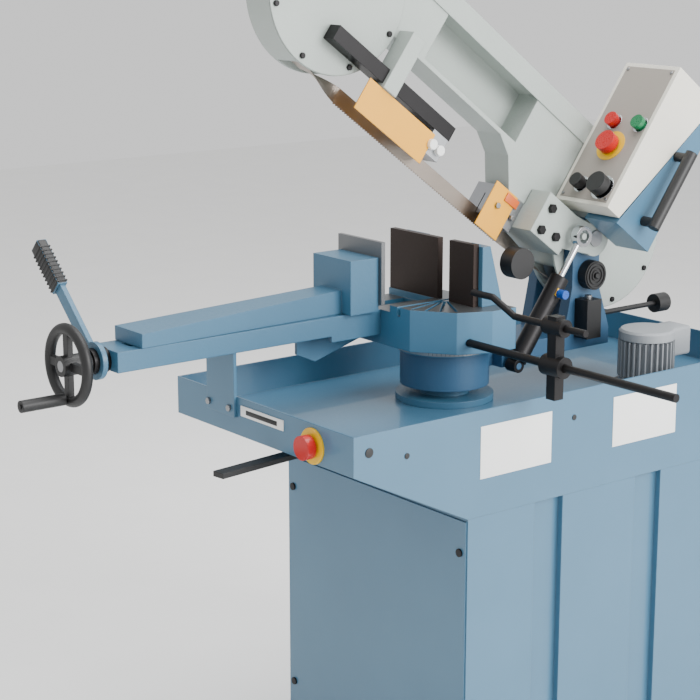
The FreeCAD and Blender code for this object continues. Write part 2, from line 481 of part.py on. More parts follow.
def swivel():
    spot = ("post_x", "post_y")
    hub = rod("hub_disc", "hub_radius", "Z", "hub_low", "hub_high", spot)
    beam = block("arm_beam", ("post_x - beam_half", "post_x + beam_half"), ("post_y", "beam_rear"),
                 ("beam_low", "beam_high"))
    bore = rod("hub_bore", "post_radius + hub_clear", "Z", "hub_low - 1", "hub_high + 1", spot)
    cheeks = []
    pins = []
    for n, (inner, outer) in enumerate((("cheek_near_in", "cheek_near_out"),
                                        ("cheek_far_out", "cheek_far_in"))):
        rear = "pivot_y + cheek_boss"
        side = [("cheek_front", "beam_high"), ("beam_rear", "beam_high"), (rear, "pivot_z - 92"),
                (rear, "pivot_z"), ("pivot_y - cheek_boss", "pivot_z"),
                ("pivot_y - cheek_waist/2 - 8", "pivot_z - 92")]
        cheeks.append(plate(f"arm_cheek{n}", "YZ", side, inner, outer))
        cheeks.append(rod(f"arm_boss{n}", "cheek_boss", "X", inner, outer, ("pivot_y", "pivot_z")))
        pins.append(rod(f"pin_bore{n}", "pin_radius + bush_wall", "X", f"{inner} - 1", f"{outer} + 1",
                        ("pivot_y", "pivot_z")))
    lug = block("cylinder_lug", ("post_x + beam_half", "cyl_x - cyl_radius - 1"), ("cyl_y - 14", "cyl_y + 14"),
                ("beam_low", "cyl_z + 18"))
    lug_pin = rod("cylinder_pin", "cyl_pin", "X", "cyl_x - cyl_radius - 1", "cyl_x + foot_radius",
                  ("cyl_y", "cyl_z"))
    spring_hole = rod("stud_hole", "stud_radius + fit", "Y", "stud_front", "beam_rear + 1",
                      ("stud_x", "knob_z"))
    solid = fuse("arm_solid", hub, beam, lug, *cheeks)
    keep(fuse("swivel_arm", cut("arm_casting", solid, bore, spring_hole, *pins), lug_pin))
    bushes, studs = [], []
    for n, (inner, outer, low, high) in enumerate((
            ("cheek_near_in", "cheek_near_out", "cheek_near_in", "ear_near_out + 3"),
            ("cheek_far_out", "cheek_far_in", "ear_far_out - 3", "cheek_far_in"))):
        wall = rod(f"bush_outer{n}", "pin_radius + bush_wall", "X", inner, outer, ("pivot_y", "pivot_z"))
        hole = rod(f"bush_inner{n}", "pin_radius + fit", "X", f"{inner} - 1", f"{outer} + 1",
                   ("pivot_y", "pivot_z"))
        bushes.append(cut(f"bush{n}", wall, hole))
        studs.append(rod(f"pivot_pin{n}", "pin_radius", "X", low, high, ("pivot_y", "pivot_z")))
    keep(group("pivot_bearings", *bushes))
    keep(group("pivot_pins", *studs))
    keep(block("limit_switch", ("cheek_near_out", "switch_out"), ("switch_front", "switch_rear"),
               ("switch_low", "switch_high")))
    keep(fuse("spring_drum", rod("drum_disc", "drum_radius", "X", "cheek_near_out",
                                 "cheek_near_out + drum_long", ("drum_y", "drum_z"))))
    stud = rod("knob_stud", "stud_radius", "Y", "stud_front", "knob_y", ("stud_x", "knob_z"))
    knob = rod("knob_head", "knob_radius", "Y", "knob_y", "knob_y + knob_long", ("stud_x", "knob_z"))
    keep(fuse("bow_stop_knob", stud, knob))
    bar = block("swivel_bar", ("-swivel_lever_wide/2", "swivel_lever_wide/2"), ("-swivel_lever_long", "20"),
                ("swivel_lever_z", "swivel_lever_z + swivel_lever_thick"))
    stem = rod("swivel_stem", "swivel_rod", "Z", "swivel_lever_z", "tray_floor - sheet - body_gap",
               ("0", "0"))
    lever = keep(fuse("swivel_lock_lever", bar, stem))
    place(lever, (*spot, "0"))
    bind(lever, "Placement.Rotation.Angle", "swivel_lever_turn")
    lever.Placement.Rotation = FreeCAD.Rotation(FreeCAD.Vector(0, 0, 1), SIZES["swivel_lever_turn"])


def hydraulics():
    """The cylinder is drawn along +Y from its foot pin and then tilted."""
    spot = ("0", "0")
    body = rod("barrel_tube", "cyl_radius", "Y", "foot_radius - 2", "cyl_long", spot)
    room = rod("barrel_room", "rod_radius + fit", "Y", "foot_radius + 8", "cyl_long + 1", spot)
    eye = rod("barrel_eye", "foot_radius", "X", "-foot_radius", "foot_radius", spot)
    pin_hole = rod("barrel_pin_hole", "cyl_pin + fit", "X", "-foot_radius - 1", "foot_radius + 1", spot)
    barrel = cut("cylinder_barrel", fuse("barrel_rough", body, eye), room, pin_hole)
    shaft = rod("rod_shaft", "rod_radius", "Y", "rod_start", "rod_end - eye_hole - 1", spot)
    ring = rod("rod_ring", "eye_radius", "X", "-eye_half", "eye_half", ("rod_end", "0"))
    ring_hole = rod("rod_ring_hole", "eye_hole", "X", "-eye_half - 1", "eye_half + 1", ("rod_end", "0"))
    piston = cut("cylinder_rod", fuse("rod_rough", shaft, ring), ring_hole)
    valve = fuse("flow_valve", rod("valve_knob", "valve_radius", "X", "cyl_radius + 1",
                                   "cyl_radius + 1 + valve_long", ("valve_at", "0")))
    for piece in (barrel, piston, valve):
        keep(piece)
        place(piece, ("cyl_x", "cyl_y", "cyl_z"))
        bind(piece, "Placement.Rotation.Angle", "cyl_tilt")
        piece.Placement.Rotation = FreeCAD.Rotation(FreeCAD.Vector(1, 0, 0), SIZES["cyl_tilt"])


def blade_shape():
    """The endless band: round both wheels, straight back above, twisted a quarter turn to the cut below.

    The cutting run is a solid of its own that meets the rest of the band end to end, so that its
    collision shape is as thin as the band and fits the slot in the table.
    """
    run, high = SIZES["wheel_run"], SIZES["wheel_high"]
    thick, wide, middle = SIZES["blade_thick"], SIZES["blade_wide"], SIZES["blade_x"]
    ends = (SIZES["idler_y"], SIZES["drive_y"])
    cut_z = SIZES["teeth_low"] + wide / 2
    low_z = high - run - thick / 2
    pieces = []
    for spot, turn in zip(ends, (90, -90)):
        outer, inner = (Part.makeCylinder(r, wide, FreeCAD.Vector(middle - wide / 2, spot, high),
                                          FreeCAD.Vector(1, 0, 0)) for r in (run + thick, run))
        half = Part.makeBox(wide, 2 * run, 4 * run, FreeCAD.Vector(middle - wide / 2, 0, high - 2 * run))
        half.translate(FreeCAD.Vector(0, spot - 2 * run if turn > 0 else spot, 0))
        pieces.append(outer.cut(inner).common(half))
    pieces.append(Part.makeBox(wide, ends[1] - ends[0], thick,
                               FreeCAD.Vector(middle - wide / 2, ends[0], high + run)))
    steps = 6
    flat = SIZES["blade_flat"]
    twists = ((ends[0] + flat, SIZES["twist_front"]), (ends[1] - flat, SIZES["guide_rear"] + 14))
    for (start, end), wheel in zip(twists, ends):
        pieces.append(Part.makeBox(wide, flat, thick, FreeCAD.Vector(
            middle - wide / 2, min(start, wheel), low_z - thick / 2)))
        wires = []
        for n in range(steps + 1):
            share = n / steps
            turn = FreeCAD.Rotation(FreeCAD.Vector(0, 1, 0), 90 * share)
            middle_z = low_z + (cut_z - low_z) * share
            spots = [turn.multVec(FreeCAD.Vector(u * wide / 2, 0, v * thick / 2))
                     + FreeCAD.Vector(middle, start + (end - start) * share, middle_z)
                     for u, v in ((-1, -1), (1, -1), (1, 1), (-1, 1))]
            wires.append(Part.makePolygon(spots + spots[:1]))
        pieces.append(Part.makeLoft(wires, True, True))
    front, rear = sorted(end for _, end in twists)
    cutting_run = Part.makeBox(thick, rear - front, wide,
                               FreeCAD.Vector(middle - thick / 2, front, cut_z - wide / 2))
    return_loop = pieces[0].multiFuse(pieces[1:]).Solids
    return Part.makeCompound([cutting_run, *return_loop])


def bow():
    hinge = ("0", "0")
    casing, hollow = [], []
    for n, spot in enumerate((("drive_y", "wheel_high"), ("idler_y", "wheel_high"))):
        casing.append(rod(f"case_disc{n}", "wheel_run + case_gap", "X", "case_back", "case_front", spot))
        hollow.append(rod(f"case_room{n}", "wheel_run + case_gap - case_rim", "X", "case_back + case_wall",
                          "case_front + 1", spot))
    top = "wheel_high + wheel_run + case_gap"
    arch = [("idler_y", top), ("drive_y", top), ("drive_y", "beam_under"), ("foot_rear", "foot_low"),
            ("foot_front + 40", "foot_low"), ("foot_front", "beam_under - 20"),
            ("foot_front - 40", "beam_under"),
            ("throat_left", "beam_under"), ("idler_y", "wheel_high")]
    casing.append(plate("case_arch", "YZ", arch, "case_back", "case_front"))
    hollow.append(block("case_channel", ("case_back + case_wall", "case_front + 1"), ("idler_y", "drive_y"),
                        (f"{top} - case_gap - 14", f"{top} - case_rim")))
    hollow.append(block("case_arch_room", ("case_back + case_wall", "case_front + 1"),
                        ("throat_left + 60", "foot_front"),
                        ("beam_under + case_wall", f"{top} - case_gap - 22")))
    low = "wheel_high - wheel_run"
    for n, (start, end) in enumerate((("drive_y - wheel_run*0.7", "drive_y"),
                                      ("idler_y", "idler_y + wheel_run*0.7"))):
        hollow.append(block(f"case_exit{n}", ("case_back + case_wall", "case_front - 1"), (start, end),
                            (f"{low} - 18", f"{low} + 16")))
    socket_x = ("case_front - 1", "bar_x + bar_side/2 + socket_wall")
    casing.append(block("guide_socket", socket_x, ("socket_front", "socket_rear"),
                        ("bar_z - bar_side/2 - socket_wall", "socket_high")))
    hollow.append(block("guide_socket_hole", ("bar_x - bar_side/2 - fit", "bar_x + bar_side/2 + fit"),
                        ("socket_front - 1", "socket_rear + 1"),
                        ("bar_z - bar_side/2 - fit", "bar_z + bar_side/2 + fit")))
    for n, spot in enumerate((("drive_y", "wheel_high"), ("idler_y", "wheel_high"))):
        hollow.append(rod(f"case_bore{n}", "wheel_bore + fit", "X", "case_back - 1", "case_front + 1", spot))
    keep(cut("bow_frame", fuse("case_solid", *casing), *hollow), on_bow=True)
    lids = [rod(f"cover_disc{n}", "wheel_run + case_gap - 1", "X", "case_front",
                "case_front + cover_thick", spot)
            for n, spot in enumerate((("drive_y", "wheel_high"), ("idler_y", "wheel_high")))]
    lid_arch = plate("cover_arch", "YZ",
                     corners4(("idler_y", "drive_y"), (f"{top} - 40", f"{top} - 1")),
                     "case_front", "case_front + cover_thick")
    keep(fuse("wheel_cover", lid_arch, *lids), on_bow=True)
    yoke = block("yoke_cross", ("ear_far_out", "ear_near_out"), ("yoke_front", "yoke_rear"),
                 ("yoke_low", "yoke_high"))
    yoke_gap = block("yoke_gap", ("case_back", "case_front + cover_thick"), ("yoke_front - 1", "yoke_rear + 1"),
                     ("foot_low", "yoke_high + 1"))
    ears = []
    for n, (inner, outer) in enumerate((("ear_near_in", "ear_near_out"), ("ear_far_out", "ear_far_in"))):
        web = [("yoke_rear - 4", "yoke_low + 12"), ("0", "-ear_boss"), ("0", "ear_boss*0.6"),
               ("yoke_rear - 4", "yoke_high")]
        ears.append(plate(f"ear_web{n}", "YZ", web, inner, outer))
        ears.append(rod(f"ear_round{n}", "ear_boss", "X", inner, outer, hinge))
    ear_bore = rod("ear_bore", "pin_radius", "X", "ear_far_out - 1", "ear_near_out + 1", hinge)
    lift_pin = rod("lift_pin", "cyl_pin", "X", "ear_near_out", "cyl_x + eye_half", ("pin_y", "pin_z"))
    solid = cut("yoke_casting", fuse("yoke_rough", yoke, *ears), yoke_gap, ear_bore)
    keep(fuse("hinge_casting", solid, lift_pin), on_bow=True)
    band = doc.addObject("Part::Feature", "blade")
    band.Shape = blade_shape()
    keep(band, on_bow=True)


def wheels():
    for name, spot_y, bore_size in (("drive_wheel", "drive_y", "wheel_bore"),
                                    ("idler_wheel", "idler_y", "wheel_bore + fit")):
        spot = (spot_y, "wheel_high")
        near, far = "blade_x + rim_wide/2", "blade_x - rim_wide/2"
        outer = rod(name + "_disc", "wheel_run - body_gap", "X", far, near, spot)
        dish = rod(name + "_dish", "wheel_run - 14", "X", f"{far} + wheel_web", f"{near} + 1", spot)
        hub = rod(name + "_hub", "hub_out", "X", far, near, spot)
        bore = rod(name + "_bore", bore_size, "X", f"{far} - 1", f"{near} + 1", spot)
        keep(cut(name, fuse(name + "_rough", cut(name + "_rim", outer, dish), hub), bore), on_bow=True)
    keep(fuse("drive_shaft", rod("drive_shaft_bar", "wheel_bore", "X", "gear_in - 20",
                                 "blade_x + rim_wide/2 + 4",
                                 ("drive_y", "wheel_high"))), on_bow=True)
    axle = rod("idler_axle", "wheel_bore", "X", "case_back - 8", "blade_x + rim_wide/2 + 4",
               ("idler_y", "wheel_high"))
    slide = block("idler_slide", ("case_back - 26", "case_back"), ("idler_y - 34", "idler_y + 34"),
                  ("wheel_high - 26", "wheel_high + 26"))
    keep(fuse("idler_block", axle, slide), on_bow=True)
    stem = rod("tension_stem", "stud_radius", "Y", "idler_y - wheel_run - case_gap - 22", "idler_y - 34",
               ("case_back - 13", "wheel_high"))
    grip = rod("tension_grip", "knob_radius + 8", "Y", "idler_y - wheel_run - case_gap - 46",
               "idler_y - wheel_run - case_gap - 22", ("case_back - 13", "wheel_high"))
    keep(fuse("tension_knob", stem, grip), on_bow=True)


def drive():
    spot = ("drive_y", "wheel_high")
    body = rod("gear_body", "gear_radius", "X", "gear_out", "gear_in", spot)
    neck = rod("gear_neck", "wheel_bore + 6", "X", "gear_in", "case_back", spot)
    flange = rod("gear_flange", "gear_radius*0.8", "Y", "drive_y", "motor_front", ("motor_x", "wheel_high"))
    bore = rod("gear_bore", "wheel_bore + fit", "X", "gear_in - 21", "case_back + 1", spot)
    keep(cut("gearbox", fuse("gear_rough", body, neck, flange), bore), on_bow=True)
    keep(fuse("drive_motor", rod("motor_can", "motor_radius", "Y", "motor_front", "motor_rear",
                                 ("motor_x", "wheel_high"))), on_bow=True)


def slanted(u0, u1, w0, w1, low, high):
    """Corners of a side face whose front and rear edges may lean."""
    return [(u0, low), (u1, low), (w1, high), (w0, high)]


def control_station():
    low, high = "box_low", "box_high"
    outer = plate("control_skin", "YZ",
                  slanted("box_face", "box_foot_rear", "box_face", "box_top_rear", low, high),
                  "case_front + cover_thick", "box_right")
    holes = []
    for name, (x, z, radius) in PANEL.items():
        holes.append(rod(name + "_hole", f"{radius} + 0.4", "Y", "box_face - 1",
                         "box_face + box_wall + 1", (x, z)))
    room = plate("control_room", "YZ",
                 slanted("box_face + box_wall", "box_foot_rear - box_wall", "box_face + box_wall",
                         "box_top_rear - box_wall*3", f"{low} + box_wall", f"{high} - box_wall"),
                 "case_front + cover_thick + box_wall", "box_right - box_wall")
    keep(cut("control_box", outer, room, *holes), on_bow=True)
    rear = "rear_box_rear"
    skin = plate("rear_skin", "YZ",
                 slanted("box_foot_rear + 0.5", rear, "box_top_rear + 0.5", rear, "rear_box_low", high),
                 "rear_box_left", "box_right")
    cavity = plate("rear_room", "YZ",
                   slanted("box_foot_rear + 4", f"{rear} - box_wall", "box_top_rear + 4", f"{rear} - box_wall",
                           "rear_box_low + box_wall", f"{high} - box_wall*2"),
                   "rear_box_left + box_wall", "box_right - box_wall")
    keep(cut("rear_box", skin, cavity), on_bow=True)
    posts = [rod(f"grip_post{n}", "grip_radius - 2", "X", "box_right", "box_right + grip_stand", ("grip_y", z))
             for n, z in enumerate(("grip_low", "grip_high"))]
    bar = rod("grip_bar", "grip_radius", "Z", "grip_low - grip_radius", "grip_high + grip_radius",
              ("box_right + grip_stand", "grip_y"))
    keep(fuse("rear_handle", *posts, bar), on_bow=True)
    for name, (x, z, radius) in PANEL.items():
        head, long = HEADS[name]
        stem = rod(name + "_stem", radius, "Y", "box_face", "box_face + box_wall + stem_long", (x, z))
        knob = rod(name + "_head", head, "Y", f"box_face - panel_stand - {long}",
                   "box_face - panel_stand", (x, z))
        neck = rod(name + "_neck", radius, "Y", "box_face - panel_stand", "box_face", (x, z))
        keep(fuse(name, stem, knob, neck), on_bow=True)


def front_stop():
    spot = ("front_stop_x", "front_stop_z")
    head = rod("front_stop_head", "head_radius", "Y", "tray_front - stem_long - head_long",
               "tray_front - stem_long", spot)
    stem = rod("front_stop_stem", "stem_radius", "Y", "tray_front - stem_long", "tray_front + stem_long", spot)
    keep(fuse("front_stop_button", head, stem))


def guides():
    near, far = "blade_x + guide_gap", "blade_x - guide_gap"
    ends = ("guide_front", "guide_rear")
    jaws = [block("guide_near", (near, "blade_x + guide_wide/2"), ends, ("guide_low", "guide_high")),
            block("guide_far", ("blade_x - guide_wide/2", far), ends, ("guide_low", "guide_high")),
            block("guide_cap", ("blade_x - guide_wide/2", "blade_x + guide_wide/2"), ends,
                  ("guide_high - 20", "foot_low"))]
    keep(fuse("fixed_guide", *jaws), on_bow=True)
    guard = block("guard_sheet", ("blade_x + guide_wide/2", "blade_x + guide_wide/2 + guard_thick"),
                  ("guard_front", "guide_rear - 20"), ("guard_drop", "guide_high"))
    keep(fuse("fixed_guard", guard), on_bow=True)
    bar = block("bar_stick", ("bar_x - bar_side/2", "bar_x + bar_side/2"), ("bar_front", "bar_rear"),
                ("bar_z - bar_side/2", "bar_z + bar_side/2"))
    keep(fuse("guide_bar", bar), on_bow=True)
    block_ends = ("block_front", "block_rear")
    cheeks = [block("moving_near", (near, "bar_x + bar_side/2"), block_ends,
                    ("guide_low", "bar_z - bar_side/2")),
              block("moving_far", ("blade_x - block_half - 6", far), block_ends, ("guide_low", "guide_high")),
              block("moving_cap", ("blade_x - block_half - 6", "bar_x - bar_side/2"), block_ends,
                    ("bar_z - bar_side/2", "bar_z + bar_side/2"))]
    keep(fuse("moving_guide", *cheeks), on_bow=True)
    shade = block("shade_sheet", ("bar_x + bar_side/2", "bar_x + bar_side/2 + guard_thick"),
                  ("shade_front", "block_front + 6"),
                  ("guard_drop + 6", "bar_z - bar_side/2 - socket_wall - 1"))
    keep(fuse("moving_guard", shade), on_bow=True)
    spot = ("knob_run", "knob_drop")
    stem = rod("guide_knob_stem", "stud_radius", "X", "blade_x + guide_wide/2", "knob_out", spot)
    head = rod("guide_knob_head", "knob_radius + 10", "X", "knob_out", "knob_out + knob_long", spot)
    keep(fuse("guide_knob", stem, head), on_bow=True)


PANEL = {"panel_stop_button": ("panel_stop_x", "panel_stop_z", "stem_radius"),
         "start_button": ("start_x", "start_z", "stem_radius"),
         "stop_button": ("stop_x", "start_z", "stem_radius"),
         "main_switch": ("main_x", "main_z", "stem_radius"),
         "selector_knob": ("selector_x", "main_z", "stem_radius")}
HEADS = {"panel_stop_button": ("head_radius", "head_long"), "start_button": ("button_radius", "button_long"),
         "stop_button": ("button_radius", "button_long"), "main_switch": ("switch_radius", "switch_long"),
         "selector_knob": ("selector_radius", "selector_long")}

for build in (cabinet, tray, coolant, table, vise, crank, length_stop, swivel, hydraulics, bow, wheels,
              drive, control_station, front_stop, guides):
    build()
doc.recompute()

for thing in doc.Objects:
    if "Invalid" in thing.State or "Error" in thing.State:
        raise RuntimeError(f"{thing.Name} did not recompute: {thing.State}")
for node in NODES:
    if node.Shape.isNull() or not node.Shape.isValid() or not node.Shape.Solids:
        raise RuntimeError(f"{node.Label} is not a valid solid")

os.makedirs("parts", exist_ok=True)
for node in NODES:
    node.Shape.exportStep(f"parts/{node.Label}.step")
print(len(NODES), "nodes written")
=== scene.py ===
"""Mitre band saw: materials for every part, the details the solid model leaves out, and a plain stage."""
import json
import math

import bmesh
import bpy
from mathutils import Matrix, Vector


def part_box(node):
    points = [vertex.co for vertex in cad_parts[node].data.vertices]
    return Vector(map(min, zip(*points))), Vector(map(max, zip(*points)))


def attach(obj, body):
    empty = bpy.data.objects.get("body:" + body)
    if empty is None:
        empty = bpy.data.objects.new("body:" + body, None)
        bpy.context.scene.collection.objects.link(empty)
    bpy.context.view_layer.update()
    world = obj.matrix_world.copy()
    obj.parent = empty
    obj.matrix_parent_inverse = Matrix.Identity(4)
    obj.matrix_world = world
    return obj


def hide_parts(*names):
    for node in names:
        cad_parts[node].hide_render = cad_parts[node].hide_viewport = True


bl_info = {
    "name": "Mitre band saw looks",
    "version": (1, 0, 0),
    "blender": (4, 5, 0),
    "location": "View3D > Sidebar > Band saw",
    "description": "Builds the materials, details and stage of a mitre band saw",
    "category": "Object",
}

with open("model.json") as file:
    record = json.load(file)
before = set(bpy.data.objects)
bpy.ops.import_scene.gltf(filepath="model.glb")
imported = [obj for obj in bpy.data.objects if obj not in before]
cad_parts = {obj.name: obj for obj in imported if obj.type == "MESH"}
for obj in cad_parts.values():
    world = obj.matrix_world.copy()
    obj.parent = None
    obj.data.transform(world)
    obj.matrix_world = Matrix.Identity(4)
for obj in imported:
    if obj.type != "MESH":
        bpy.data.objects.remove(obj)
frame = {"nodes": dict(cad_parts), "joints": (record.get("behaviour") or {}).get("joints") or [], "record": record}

JOINTS = {joint["name"]: joint for joint in frame["joints"]}


def joint_at(name):
    """Where a joint's axis is at rest, in metres."""
    return Vector(JOINTS[name]["pos_m"])


# The bow's own axes start at its hinge and are level when the bow is down, at its lowest angle.
BOW = (Matrix.Translation(joint_at("bow_pivot"))
       @ Matrix.Rotation(math.radians(JOINTS["bow_pivot"]["range_deg"][0]), 4, "X"))
# The vise lever's axes have Z along the lever, which leans to the left.
LEVER_LEAN = -47
LEVER = (Matrix.Translation((joint_at("handwheel_turn").x, 0, joint_at("handwheel_turn").z))
         @ Matrix.Rotation(math.radians(LEVER_LEAN), 4, "Y"))
# The cylinder's axes have Y along the barrel, from its foot.
CYLINDER_TILT = 53.7
CYLINDER = (Matrix.Translation(joint_at("cylinder_tilt"))
            @ Matrix.Rotation(math.radians(CYLINDER_TILT), 4, "X"))
FLAT = Matrix.Identity(4)
TO_X = Matrix.Rotation(math.radians(90), 4, "Y")
TO_Y = Matrix.Rotation(math.radians(-90), 4, "X")

# Places in the bow's own axes, in millimetres
COVER_FACE = 18
YOKE_FACE = 65
WHEELS = {"drive": 66, "idler": -718}
WHEEL_HIGH = 41
BLADE_X = -15
TEETH_FRONT = -599
TEETH_LOW = -102
TEETH_RUN = 462
PANEL_FACE = -91
# Length of the lever grip that is ribbed
GRIP_RIBBED = 84
# Radius of the hole that a button's stem passes through
STEM_HOLE = 11


def mm(*values):
    """Millimetres to a vector in metres."""
    return Vector(value / 1000 for value in values)


def reach(node):
    """A solid part's lowest and highest corner at rest, in millimetres."""
    return [Vector(corner) * 1000 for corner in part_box(node)]


def colour(text):
    """An sRGB hex colour as linear RGBA."""
    parts = [int(text[n:n + 2], 16) / 255 for n in (0, 2, 4)]
    return [c / 12.92 if c <= 0.04045 else ((c + 0.055) / 1.055) ** 2.4 for c in parts] + [1.0]


# ---------------------------------------------------------------- materials

def add(tree, kind, links=(), **settings):
    """Add a node; settings name its sockets or its own properties, links join (socket, source)."""
    node = tree.nodes.new(kind)
    for name, value in settings.items():
        if name in node.inputs:
            node.inputs[name].default_value = value
        else:
            setattr(node, name, value)
    for name, source in links:
        tree.links.new(source, node.inputs[name])
    return node


def bare_top(tree, paint, gloss, relief, metal):
    """Bare ground metal where a painted casting faces straight up."""
    facing = add(tree, "ShaderNodeTexCoord").outputs["Normal"]
    up = add(tree, "ShaderNodeSeparateXYZ", [("Vector", facing)])
    top = add(tree, "ShaderNodeMath", operation="GREATER_THAN")
    tree.links.new(up.outputs["Z"], top.inputs[0])
    top.inputs[1].default_value = 0.95
    ground = add(tree, "ShaderNodeBsdfPrincipled",
                 [("Roughness", gloss.outputs["Result"]), ("Normal", relief.outputs["Normal"])],
                 Metallic=0.9)
    ground.inputs["Base Color"].default_value = colour(metal)
    both = add(tree, "ShaderNodeMixShader", [("Fac", top.outputs[0])])
    tree.links.new(paint.outputs["BSDF"], both.inputs[1])
    tree.links.new(ground.outputs["BSDF"], both.inputs[2])
    return both.outputs["Shader"]


def surface(name, dark, light, rough, metal=0.0, grain=8.0, stretch=(1, 1, 1), bump=0.02, edge=1.0,
            coat=0.0, bare=None):
    """A surface whose colour, roughness and relief vary with a grain of that many millimetres."""
    material = bpy.data.materials.new(name)
    material.use_nodes = True
    tree = material.node_tree
    tree.nodes.clear()
    spot = add(tree, "ShaderNodeTexCoord").outputs["Object"]
    place = add(tree, "ShaderNodeMapping", [("Vector", spot)], Scale=stretch)
    fine = add(tree, "ShaderNodeTexNoise", [("Vector", place.outputs["Vector"])],
               Scale=1000 / grain, Detail=4.0, Roughness=0.6)
    broad = add(tree, "ShaderNodeTexNoise", [("Vector", spot)], Scale=6.0, Detail=3.0)
    tint = add(tree, "ShaderNodeMix", [("Factor", broad.outputs["Fac"])], data_type="RGBA")
    for index, value in ((6, colour(dark)), (7, colour(light))):
        tint.inputs[index].default_value = value
    gloss = add(tree, "ShaderNodeMapRange", [("Value", fine.outputs["Fac"])])
    gloss.inputs["To Min"].default_value = max(rough - 0.08, 0.03)
    gloss.inputs["To Max"].default_value = min(rough + 0.08, 1.0)
    round_edge = add(tree, "ShaderNodeBevel", samples=4, Radius=edge / 1000)
    relief = add(tree, "ShaderNodeBump", [("Height", fine.outputs["Fac"]),
                                          ("Normal", round_edge.outputs["Normal"])],
                 Strength=min(bump * 10, 1.0), Distance=bump / 1000 * 5)
    shade = add(tree, "ShaderNodeBsdfPrincipled",
                [("Base Color", tint.outputs[2]), ("Roughness", gloss.outputs["Result"]),
                 ("Normal", relief.outputs["Normal"])], Metallic=metal)
    shade.inputs["Coat Weight"].default_value = coat
    result = bare_top(tree, shade, gloss, relief, bare) if bare else shade.outputs["BSDF"]
    add(tree, "ShaderNodeOutputMaterial", [("Surface", result)])
    return material


# name: (dark, light, roughness, settings); grain is the real size of the pattern in millimetres
RECIPES = {
    # gloss powder coat on folded sheet, with orange peel about 3 mm across
    "powder_coat_blue": ("3d6680", "47718c", 0.36, dict(grain=3, bump=0.03, coat=0.25, edge=2)),
    # brushed paint on castings, which are rougher underneath
    "casting_paint_blue": ("3a647e", "446f8a", 0.40, dict(grain=5, bump=0.08, edge=2.5)),
    # the same casting paint darkened as painted shade for parts that sit in shadow, a little duller
    "casting_paint_dark_blue": ("2c4f6c", "355b7a", 0.45, dict(grain=5, bump=0.08, edge=2.5)),
    # painted casting with its table face ground bare
    "ground_top_casting_blue": ("3a6885", "467693", 0.40,
                                dict(grain=5, bump=0.06, edge=2, bare="6f7274")),
    # grey-green paint on sand-cast iron, whose skin shows through as soft lumps
    "casting_paint_grey": ("9aa39e", "abb3ae", 0.50, dict(grain=6, bump=0.10, edge=3)),
    # fine-textured paint on sheet steel, nearly matt
    "textured_paint_cream": ("d3d0c4", "dedbd0", 0.55, dict(grain=1.5, bump=0.05, edge=2)),
    # printed panel film, even and half matt
    "panel_print_grey": ("8e8880", "98928a", 0.50, dict(grain=2, bump=0.02, edge=0.6)),
    # ground flat, with marks along X
    "ground_steel": ("8b8c8e", "a2a3a5", 0.34, dict(metal=1, grain=2, stretch=(0.06, 1, 1), bump=0.02)),
    # oil-blackened turned steel, dark with a dull sheen
    "oil_blackened_steel": ("1c1b1c", "292829", 0.42, dict(metal=0.7, grain=3, bump=0.03, edge=1.5)),
    # hot-rolled plate, brown-black mill scale
    "hot_rolled_jaw_steel": ("2c2320", "3a2f2a", 0.48, dict(metal=0.6, grain=4, bump=0.05)),
    # machined grey iron, with tool marks along Y
    "machined_grey_iron": ("6c6e70", "7e8082", 0.40,
                           dict(metal=0.9, grain=3, stretch=(1, 0.08, 1), bump=0.04)),
    # plated and polished, a clear reflection
    "hard_chrome": ("c2c4c8", "cdcfd3", 0.10, dict(metal=1, grain=2, bump=0.005)),
    # moulded nylon with a fine spark-eroded skin
    "moulded_black_nylon": ("101011", "19191a", 0.50, dict(grain=1, bump=0.03, edge=1.5)),
    # glossy moulded plastics with almost no relief
    "moulded_red_plastic": ("b0120f", "bd1a14", 0.28, dict(grain=2, bump=0.01, edge=1.5)),
    "moulded_green_plastic": ("0d6b3f", "137849", 0.28, dict(grain=2, bump=0.01, edge=1)),
    "moulded_blue_plastic": ("15489b", "1c54aa", 0.28, dict(grain=2, bump=0.01, edge=1)),
    "moulded_yellow_plastic": ("e3b404", "efc20f", 0.35, dict(grain=2, bump=0.01, edge=1)),
    # powder coat on thin guards, slightly orange
    "powder_coat_guard_yellow": ("e09a10", "eba81c", 0.40, dict(grain=3, bump=0.03, edge=1)),
    # die-cast aluminium as it leaves the mould, satin
    "die_cast_aluminium": ("96989b", "a8aaad", 0.38, dict(metal=1, grain=3, bump=0.04, edge=1)),
    # sprayed grey paint on finned motor cases
    "painted_motor_grey": ("84888c", "94989c", 0.48, dict(grain=3, bump=0.04, edge=1)),
    # turned brass, with fine marks along Y
    "turned_brass": ("a5822f", "b8943b", 0.26, dict(metal=1, grain=1, stretch=(1, 0.1, 1), bump=0.01)),
    # cold-rolled blade strip, with long marks and a warm tint
    "rolled_band_steel": ("8a8178", "9b9188", 0.36,
                          dict(metal=0.95, grain=2, stretch=(1, 0.05, 1), bump=0.01)),
    # blank printed plate, smooth and white
    "printed_white_plate": ("e4e5e3", "eeefed", 0.40, dict(grain=4, bump=0.005, edge=0.4)),
    # stoved enamel on a small bracket
    "orange_enamel": ("c2551a", "d0621f", 0.35, dict(grain=3, bump=0.02, edge=0.6)),
}

